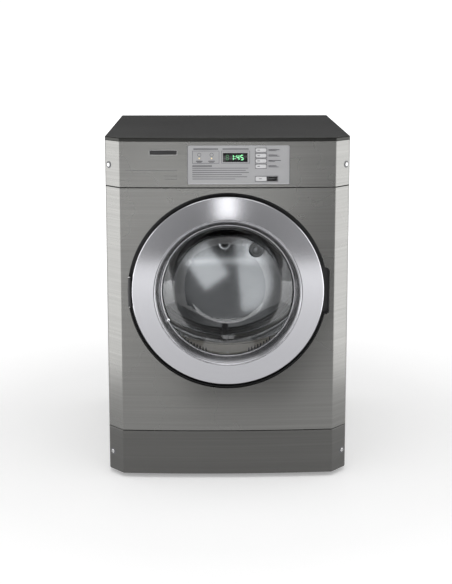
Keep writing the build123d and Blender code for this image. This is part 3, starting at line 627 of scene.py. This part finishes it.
# dark moulded sleeve on the window's cone, and a bright bead at its foot
windowTrim = {"sleeveIn": 0.006, "sleeve": 0.0009, "lean": 0.0002, "fit": 0.0001,
              "sleeveRounds": {1: (0.0003, 2)}, "beadSink": 0.0022, "beadWidth": 0.0035, "beadHeight": 0.0022,
              "beadGap": 0.0006,
              "beadRounds": {1: (0.0008, 4), 2: (0.0014, 5), 3: (0.0006, 3)}, "steps": 224}


def makeWindowTrim(kit):
    w = windowTrim
    seatR = door["seatR"]
    front = door["front"] + w["sleeveIn"]
    back = door["front"] + door["seatIn"]
    slope = (door["windowR"] - seatR) / (back - door["front"] - door["lipIn"])
    topR = seatR + (back - front) * slope
    sleeve = [(topR, front), (topR - w["sleeve"], front + w["lean"]), (seatR - w["sleeve"], back),
              (seatR + w["fit"], back)]
    shape = bmesh.new()
    addRing(shape, sleeve, (0, door["z"]), w["steps"], w["sleeveRounds"])
    newPiece("windowSleeve", shape, kit["darkTrim"], "door")
    outer, inner = seatR - w["beadGap"], seatR - w["beadWidth"]
    foot = back + w["beadSink"]
    crown = foot - w["beadHeight"]
    shape = bmesh.new()
    addRing(shape, [(outer, foot), (inner, foot), (inner, crown), (outer, crown)], (0, door["z"]), w["steps"],
            w["beadRounds"])
    newPiece("windowBead", shape, kit["darkTrim"], "door")
    print("window trim ready")


# bright spring strip at the left of the glass, from and to in degrees, with a stop at its lower end;
# the stop's profile is (share of stopR, y)
windowArc = {"radius": 0.1868, "tube": 0.0016, "from": 152, "to": 206, "proud": 0.0015, "sides": 16,
             "steps": 60, "stopR": 0.0042, "stopSteps": 32,
             "stop": ((0, -0.003), (0.6, -0.0027), (1, -0.0012), (1, 0.0015), (0, 0.0015))}


def makeWindowArc(kit):
    a = windowArc
    y = door["front"] + door["seatIn"] - a["proud"]
    middle = (0, y, door["z"])
    start, end = math.radians(a["from"]), math.radians(a["to"])
    shape = bmesh.new()
    made = bmesh.ops.create_circle(shape, segments=a["sides"], radius=a["tube"], cap_ends=True)["verts"]
    bmesh.ops.translate(shape, vec=(a["radius"], 0, 0), verts=made)
    bmesh.ops.rotate(shape, cent=(0, 0, 0), matrix=Matrix.Rotation(-start, 3, "Y"), verts=made)
    bmesh.ops.translate(shape, vec=middle, verts=made)
    bmesh.ops.spin(shape, geom=shape.verts[:] + shape.edges[:] + shape.faces[:], cent=middle, axis=(0, 1, 0),
                   angle=start - end, steps=a["steps"], use_merge=False)
    newPiece("windowArc", shape, kit["chrome"], "door")
    x, z = a["radius"] * math.cos(end), door["z"] + a["radius"] * math.sin(end)
    stop = [(a["stopR"] * share, y + rise) for share, rise in a["stop"]]
    shape = bmesh.new()
    addRing(shape, stop, (x, z), a["stopSteps"], closed=False)
    newPiece("windowArcStop", shape, kit["chrome"], "door")
    print("window arc ready")


# boxes below are (left, right, bottom, top) in mm from the middle of the front and from the floor
printing = {"lift": 0.00012, "thick": 0.0003}


def printBars(name, bars, mat, body="cabinet", y=faceY, thick=printing["thick"],
              lift=printing["lift"], bevel=0.0):
    shape = bmesh.new()
    for x0, x1, z0, z1 in bars:
        addBlock(shape, (x0 * mm, y - lift, z0 * mm), (x1 * mm, y - lift + thick, z1 * mm), bevel)
    newPiece(name, shape, mat, body)


def frameBars(x0, x1, z0, z1, width):
    level = [(x0, x1, z1 - width, z1), (x0, x1, z0, z0 + width)]
    return level + [(x0, x0 + width, z0, z1), (x1 - width, x1, z0, z1)]


# edgeBand is the printed edge's near and far side; wordBars are (half width, bottom, top) under each icon
panel = {
    "edge": (-112, 171, 854.5, 961.5), "edgeBand": (0.4, 1.6), "edgeEnd": 1,
    "frames": ((-98, -24, 912, 947), (-18, 60, 912, 947)), "line": 0.9,
    "titles": ((-95, -27, 950.5, 953.5), (-15, 57, 950.5, 953.5)),
    "wordBars": ((9, 917.2, 919.4), (6.5, 914.4, 915.8)),
    "heading": (-98, -44, 903.5, 906.5), "rowLeft": -98, "rowHalf": 0.7,
    "rows": ((899, 56), (893, 49), (887, 58), (881, 38), (875, 53), (869, 20)),     # height, right end
}

# small amber lamps with a printed icon above each
lamps = {"xs": (-79, -45), "z": 926, "iconZ": 936, "iconRs": (0.0052, 0.0043), "iconSteps": 40,
         "sunk": 0.0002,
         "dome": ((0, -0.0007), (0.0013, -0.0006), (0.0019, -0.0001), (0.0019, 0.0002), (0, 0.0002)),
         "domeSteps": 24}


def makeOverlayPrint(kit):
    x0, x1, z0, z1 = panel["edge"]
    near, far = panel["edgeBand"]
    end = panel["edgeEnd"]
    sides = [(x0 + near, x0 + far, z0 + end, z1 - end), (x1 - far, x1 - near, z0 + end, z1 - end)]
    printBars("overlayEdges", sides, kit["ink"])
    printBars("overlayLowerEdge", [(x0 + far, x1 - far, z0 + near, z0 + far)], kit["paleInk"])
    frames = [bar for box in panel["frames"] for bar in frameBars(*box, panel["line"])]
    printBars("overlayFrames", frames, kit["ink"])
    words = list(panel["titles"])
    for x in lamps["xs"]:
        words += [(x - half, x + half, low, high) for half, low, high in panel["wordBars"]]
    printBars("overlayTitles", words, kit["ink"])
    half = panel["rowHalf"]
    rows = [(panel["rowLeft"], right, z - half, z + half) for z, right in panel["rows"]]
    printBars("overlayRules", [panel["heading"]] + rows, kit["ink"])
    outer, inner = lamps["iconRs"]
    top, foot = faceY - printing["lift"], faceY + lamps["sunk"]
    shape = bmesh.new()
    for x in lamps["xs"]:
        addRing(shape, [(outer, top), (inner, top), (inner, foot), (outer, foot)],
                (x * mm, lamps["iconZ"] * mm), lamps["iconSteps"])
    newPiece("overlayIcons", shape, kit["ink"], "cabinet")
    dome = [(r, faceY + y) for r, y in lamps["dome"]]
    shape = bmesh.new()
    for x in lamps["xs"]:
        addRing(shape, dome, (x * mm, lamps["z"] * mm), lamps["domeSteps"], closed=False)
    newPiece("overlayLamps", shape, kit["ledAmber"], "cabinet")
    print("overlay print ready")


display = {
    "window": (-14, 54, 916, 941), "proud": 0.0008, "sunk": 0.0003, "round": 0.0005,
    "digits": "1:45", "start": 8.0, "size": (7.6, 14.5), "bar": 1.7, "step": 11.0,
    "steps": {"1": 12.0, ":": 3.6},
    "colonX": (-1.6, 0.4), "colonZ": ((3.4, 5.4), (9.2, 11.2)), "unlitStep": 13.5, "unlitBar": 1.4,
    "endGap": 1.2, "middleGap": 0.6, "tipGap": 0.9, "litLift": 0.00015, "unlitLift": 0.0001,
}
litBars = {
    "0": "abcdef", "1": "bc", "2": "abged", "3": "abgcd", "4": "fgbc", "5": "afgcd", "6": "afgedc",
    "7": "abc", "8": "abcdefg", "9": "abcdfg",
}


def digitBars(x, z, lit, width):
    w, h = display["size"]
    middle = z + h / 2
    left, right = x + display["endGap"], x + w - display["endGap"]
    upper = (middle + display["middleGap"], z + h - display["tipGap"])
    lower = (z + display["tipGap"], middle - display["middleGap"])
    bars = {
        "a": (left, right, z + h - width, z + h),
        "g": (left, right, middle - width / 2, middle + width / 2),
        "d": (left, right, z, z + width),
        "b": (x + w - width, x + w, *upper), "c": (x + w - width, x + w, *lower),
        "f": (x, x + width, *upper), "e": (x, x + width, *lower),
    }
    return [bars[k] for k in bars if k in lit]


def makeDisplay(kit):
    d = display
    x0, x1, z0, z1 = d["window"]
    front = faceY - d["proud"]
    shape = bmesh.new()
    addBlock(shape, (x0 * mm, front, z0 * mm), (x1 * mm, faceY + d["sunk"], z1 * mm), d["round"], 3)
    newPiece("displayWindow", shape, kit["gloss_black"], "cabinet")
    x = d["start"]
    base = (z0 + z1) / 2 - d["size"][1] / 2
    unlit = digitBars(x - d["unlitStep"], base, litBars["8"], d["unlitBar"])
    lit = []
    for mark in d["digits"]:
        if mark == ":":
            left, right = d["colonX"]
            lit += [(x + left, x + right, base + low, base + high) for low, high in d["colonZ"]]
        else:
            lit += digitBars(x, base, litBars[mark], d["bar"])
        x += d["steps"].get(mark, d["step"])
    printBars("displayDigits", lit, kit["digitGreen"], y=front, lift=d["litLift"])
    # unlit ghost segments shown by a faint painted glow
    printBars("displayGhosts", unlit, kit["digitGhostPaintedGlow"], y=front, lift=d["unlitLift"])
    print("display ready")


# faces of the keys in mm, without the flanges behind the overlay; labels are the widths of each key's bars
keys = {
    "size": (29.6, 10.5), "startSize": (61.0, 13.0), "line": 0.8, "lineGap": 0.3, "markHalf": 0.9,
    "mark": (5, 12), "startMark": (9, 17), "labels": ((30, 22), (24, 30), (34, 18), (22, 28)), "labelGap": 6,
    "labelRows": ((0.4, 2.0), (-2.4, -1.2)), "plateInset": 0.5, "darkLift": 0.0003, "lightLift": 0.0002,
    "plateRound": 0.0001,
}


def keyFace(node, size):
    low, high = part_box(node)
    x, z = (low.x + high.x) / 2 / mm, (low.z + high.z) / 2 / mm
    return x - size[0] / 2, x + size[0] / 2, z - size[1] / 2, z + size[1] / 2, low.y


def keyOutline(name, x0, x1, z0, z1, kit):
    line = keys["line"]
    out = line + keys["lineGap"]
    printBars(name, frameBars(x0 - out, x1 + out, z0 - out, z1 + out, line), kit["ink"])


def makeKeyMarks(kit):
    k = keys
    half = k["markHalf"]
    for number, widths in enumerate(k["labels"], 1):
        node = "key_%d" % number
        x0, x1, z0, z1, y = keyFace(node, k["size"])
        z = (z0 + z1) / 2
        left, right = k["mark"]
        mark = [(x0 + left, x0 + right, z - half, z + half)]
        printBars("keyMark_%d" % number, mark, kit["ink"], node, y)
        keyOutline("keyOutline_%d" % number, x0, x1, z0, z1, kit)
        x = x1 + k["labelGap"]
        rows = [(x, x + width, z + low, z + high) for width, (low, high) in zip(widths, k["labelRows"])]
        printBars("keyLabel_%d" % number, rows, kit["ink"])
    x0, x1, z0, z1, y = keyFace("start_key", k["startSize"])
    keyOutline("startKeyOutline", x0, x1, z0, z1, kit)
    middle, z = (x0 + x1) / 2, (z0 + z1) / 2
    inset, lift = k["plateInset"], k["lightLift"]
    dark = [(middle, x1 - inset, z0 + inset, z1 - inset)]
    printBars("startKeyDark", dark, kit["gloss_black"], "start_key", y, lift=k["darkLift"],
              bevel=k["plateRound"])
    light = [(x0 + inset, middle - inset, z0 + inset, z1 - inset)]
    printBars("startKeyLight", light, kit["key_grey"], "start_key", y, lift=lift,
              bevel=k["plateRound"])
    left, right = k["startMark"]
    mark = [(x0 + left, x0 + right, z - half, z + half)]
    printBars("startKeyMark", mark, kit["ink"], "start_key", y - lift)
    print("key marks ready")


# the front bows forward by rise over its half width
bow = {"rise": 0.010, "half": 0.2995}


def bowY(x):
    radius = (bow["half"] ** 2 + bow["rise"] ** 2) / (2 * bow["rise"])
    return frontY + radius - math.sqrt(radius ** 2 - x * x)


fasciaRules = {"boxes": ((-283, -140, 891.6, 892.5), (-175, -140, 876.6, 877.5), (-175, -140, 867.6, 868.5)),
               "stretch": 6, "proud": 0.00025, "overlap": 0.0001}


# rules printed on the bowed front follow its curve in short stretches
def makeFasciaRules(kit):
    r = fasciaRules
    shape = bmesh.new()
    for x0, x1, z0, z1 in r["boxes"]:
        steps = max(2, int((x1 - x0) / r["stretch"]))
        for i in range(steps):
            left = (x0 + (x1 - x0) * i / steps) * mm
            right = (x0 + (x1 - x0) * (i + 1) / steps) * mm
            y = bowY((left + right) / 2)
            high = (right + r["overlap"], y + r["overlap"], z1 * mm)
            addBlock(shape, (left, y - r["proud"], z0 * mm), high)
    newPiece("fasciaRules", shape, kit["ink"], "cabinet", tidy=False)
    print("fascia rules ready")


badge = {"line": 0.0007, "proud": 0.0001, "sunk": 0.0006, "round": 0.0001}


def makeBadge(kit):
    low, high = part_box("badge_plate")
    shape = bmesh.new()
    for x0, x1, z0, z1 in frameBars(low.x, high.x, low.z, high.z, badge["line"]):
        addBlock(shape, (x0, low.y - badge["proud"], z0), (x1, low.y + badge["sunk"], z1), badge["round"], 1)
    newPiece("badgeBorder", shape, kit["screw_steel"], "cabinet", tidy=False)
    print("badge ready")


# slots of the grille in mm along its curved throat, counted outwards from the middle on both sides; black
# boxes in them are painted shade
grilleSlots = {"throatR": 214.0, "start": 62.0, "step": 8.6, "count": 8, "lift": 13.0, "width": 4.4,
               "height": 12.0, "proud": 0.0002, "thick": 0.004}
filterMark = {"half": 0.004, "above": 0.012, "height": 0.0035, "proud": 0.0004, "sunk": 0.0003,
              "round": 0.0003}


def makeGrilleMarks(kit):
    low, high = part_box("filter_grille")
    g = grilleSlots
    bars = []
    for i in range(g["count"]):
        x = g["start"] + g["step"] * i
        z = door["z"] / mm - math.sqrt(g["throatR"] ** 2 - x * x) + g["lift"]
        for side in (-x, x):
            across = (side - g["width"] / 2, side + g["width"] / 2)
            bars.append((*across, z - g["height"] / 2, z + g["height"] / 2))
    # matte black boxes at the slots: painted shade inside the openings
    printBars("grilleSlotPaintedShade", bars, kit["matte_black"], y=low.y, lift=g["proud"],
              thick=g["thick"])
    f = filterMark
    z = low.z + f["above"]
    shape = bmesh.new()
    addBlock(shape, (-f["half"], low.y - f["proud"], z), (f["half"], low.y + f["sunk"], z + f["height"]),
             f["round"])
    newPiece("filterMark", shape, kit["white_plastic"], "cabinet")
    print("grille marks ready")


# shallow cups round the heads on the 45 degree corners, in dark ink as painted shade in the dimples
screwCupsPaintedShade = {"x": 0.331, "y": -0.310, "zs": (0.904, 0.067), "outer": 0.0098, "inner": 0.0054,
             "rise": 0.0002, "depth": 0.0006, "steps": 48}


def makeScrewCups(kit):
    c = screwCupsPaintedShade
    profile = [(c["outer"], -c["rise"]), (c["inner"], 0.0)]
    profile += [(c["inner"], c["depth"]), (c["outer"], c["depth"])]
    shape = bmesh.new()
    for side in (-1, 1):
        for z in c["zs"]:
            cup = bmesh.new()
            addRing(cup, profile, steps=c["steps"])
            place = Matrix.Translation((side * c["x"], c["y"], z))
            turn = Matrix.Rotation(side * math.pi / 4, 4, "Z")
            bmesh.ops.transform(cup, verts=cup.verts, matrix=place @ turn)
            part = bpy.data.meshes.new("cupPart")
            cup.to_mesh(part)
            cup.free()
            shape.from_mesh(part)
            bpy.data.meshes.remove(part)
    # dark ink on the cups: painted shade round the screw heads
    newPiece("screwCupsPaintedShade", shape, kit["ink"], "cabinet")
    print("screw cups ready")


def main():
    makeCamera()
    makeWorld()
    makeFloor()
    makeCard()
    kit = makeMaterials()
    makeLights()
    dressCad(kit)
    makeDoorRing(kit)
    makeDoorGlass(kit)
    makeWindowTrim(kit)
    makeWindowArc(kit)
    makeOverlayPrint(kit)
    makeDisplay(kit)
    makeKeyMarks(kit)
    makeFasciaRules(kit)
    makeBadge(kit)
    makeGrilleMarks(kit)
    makeScrewCups(kit)


main()
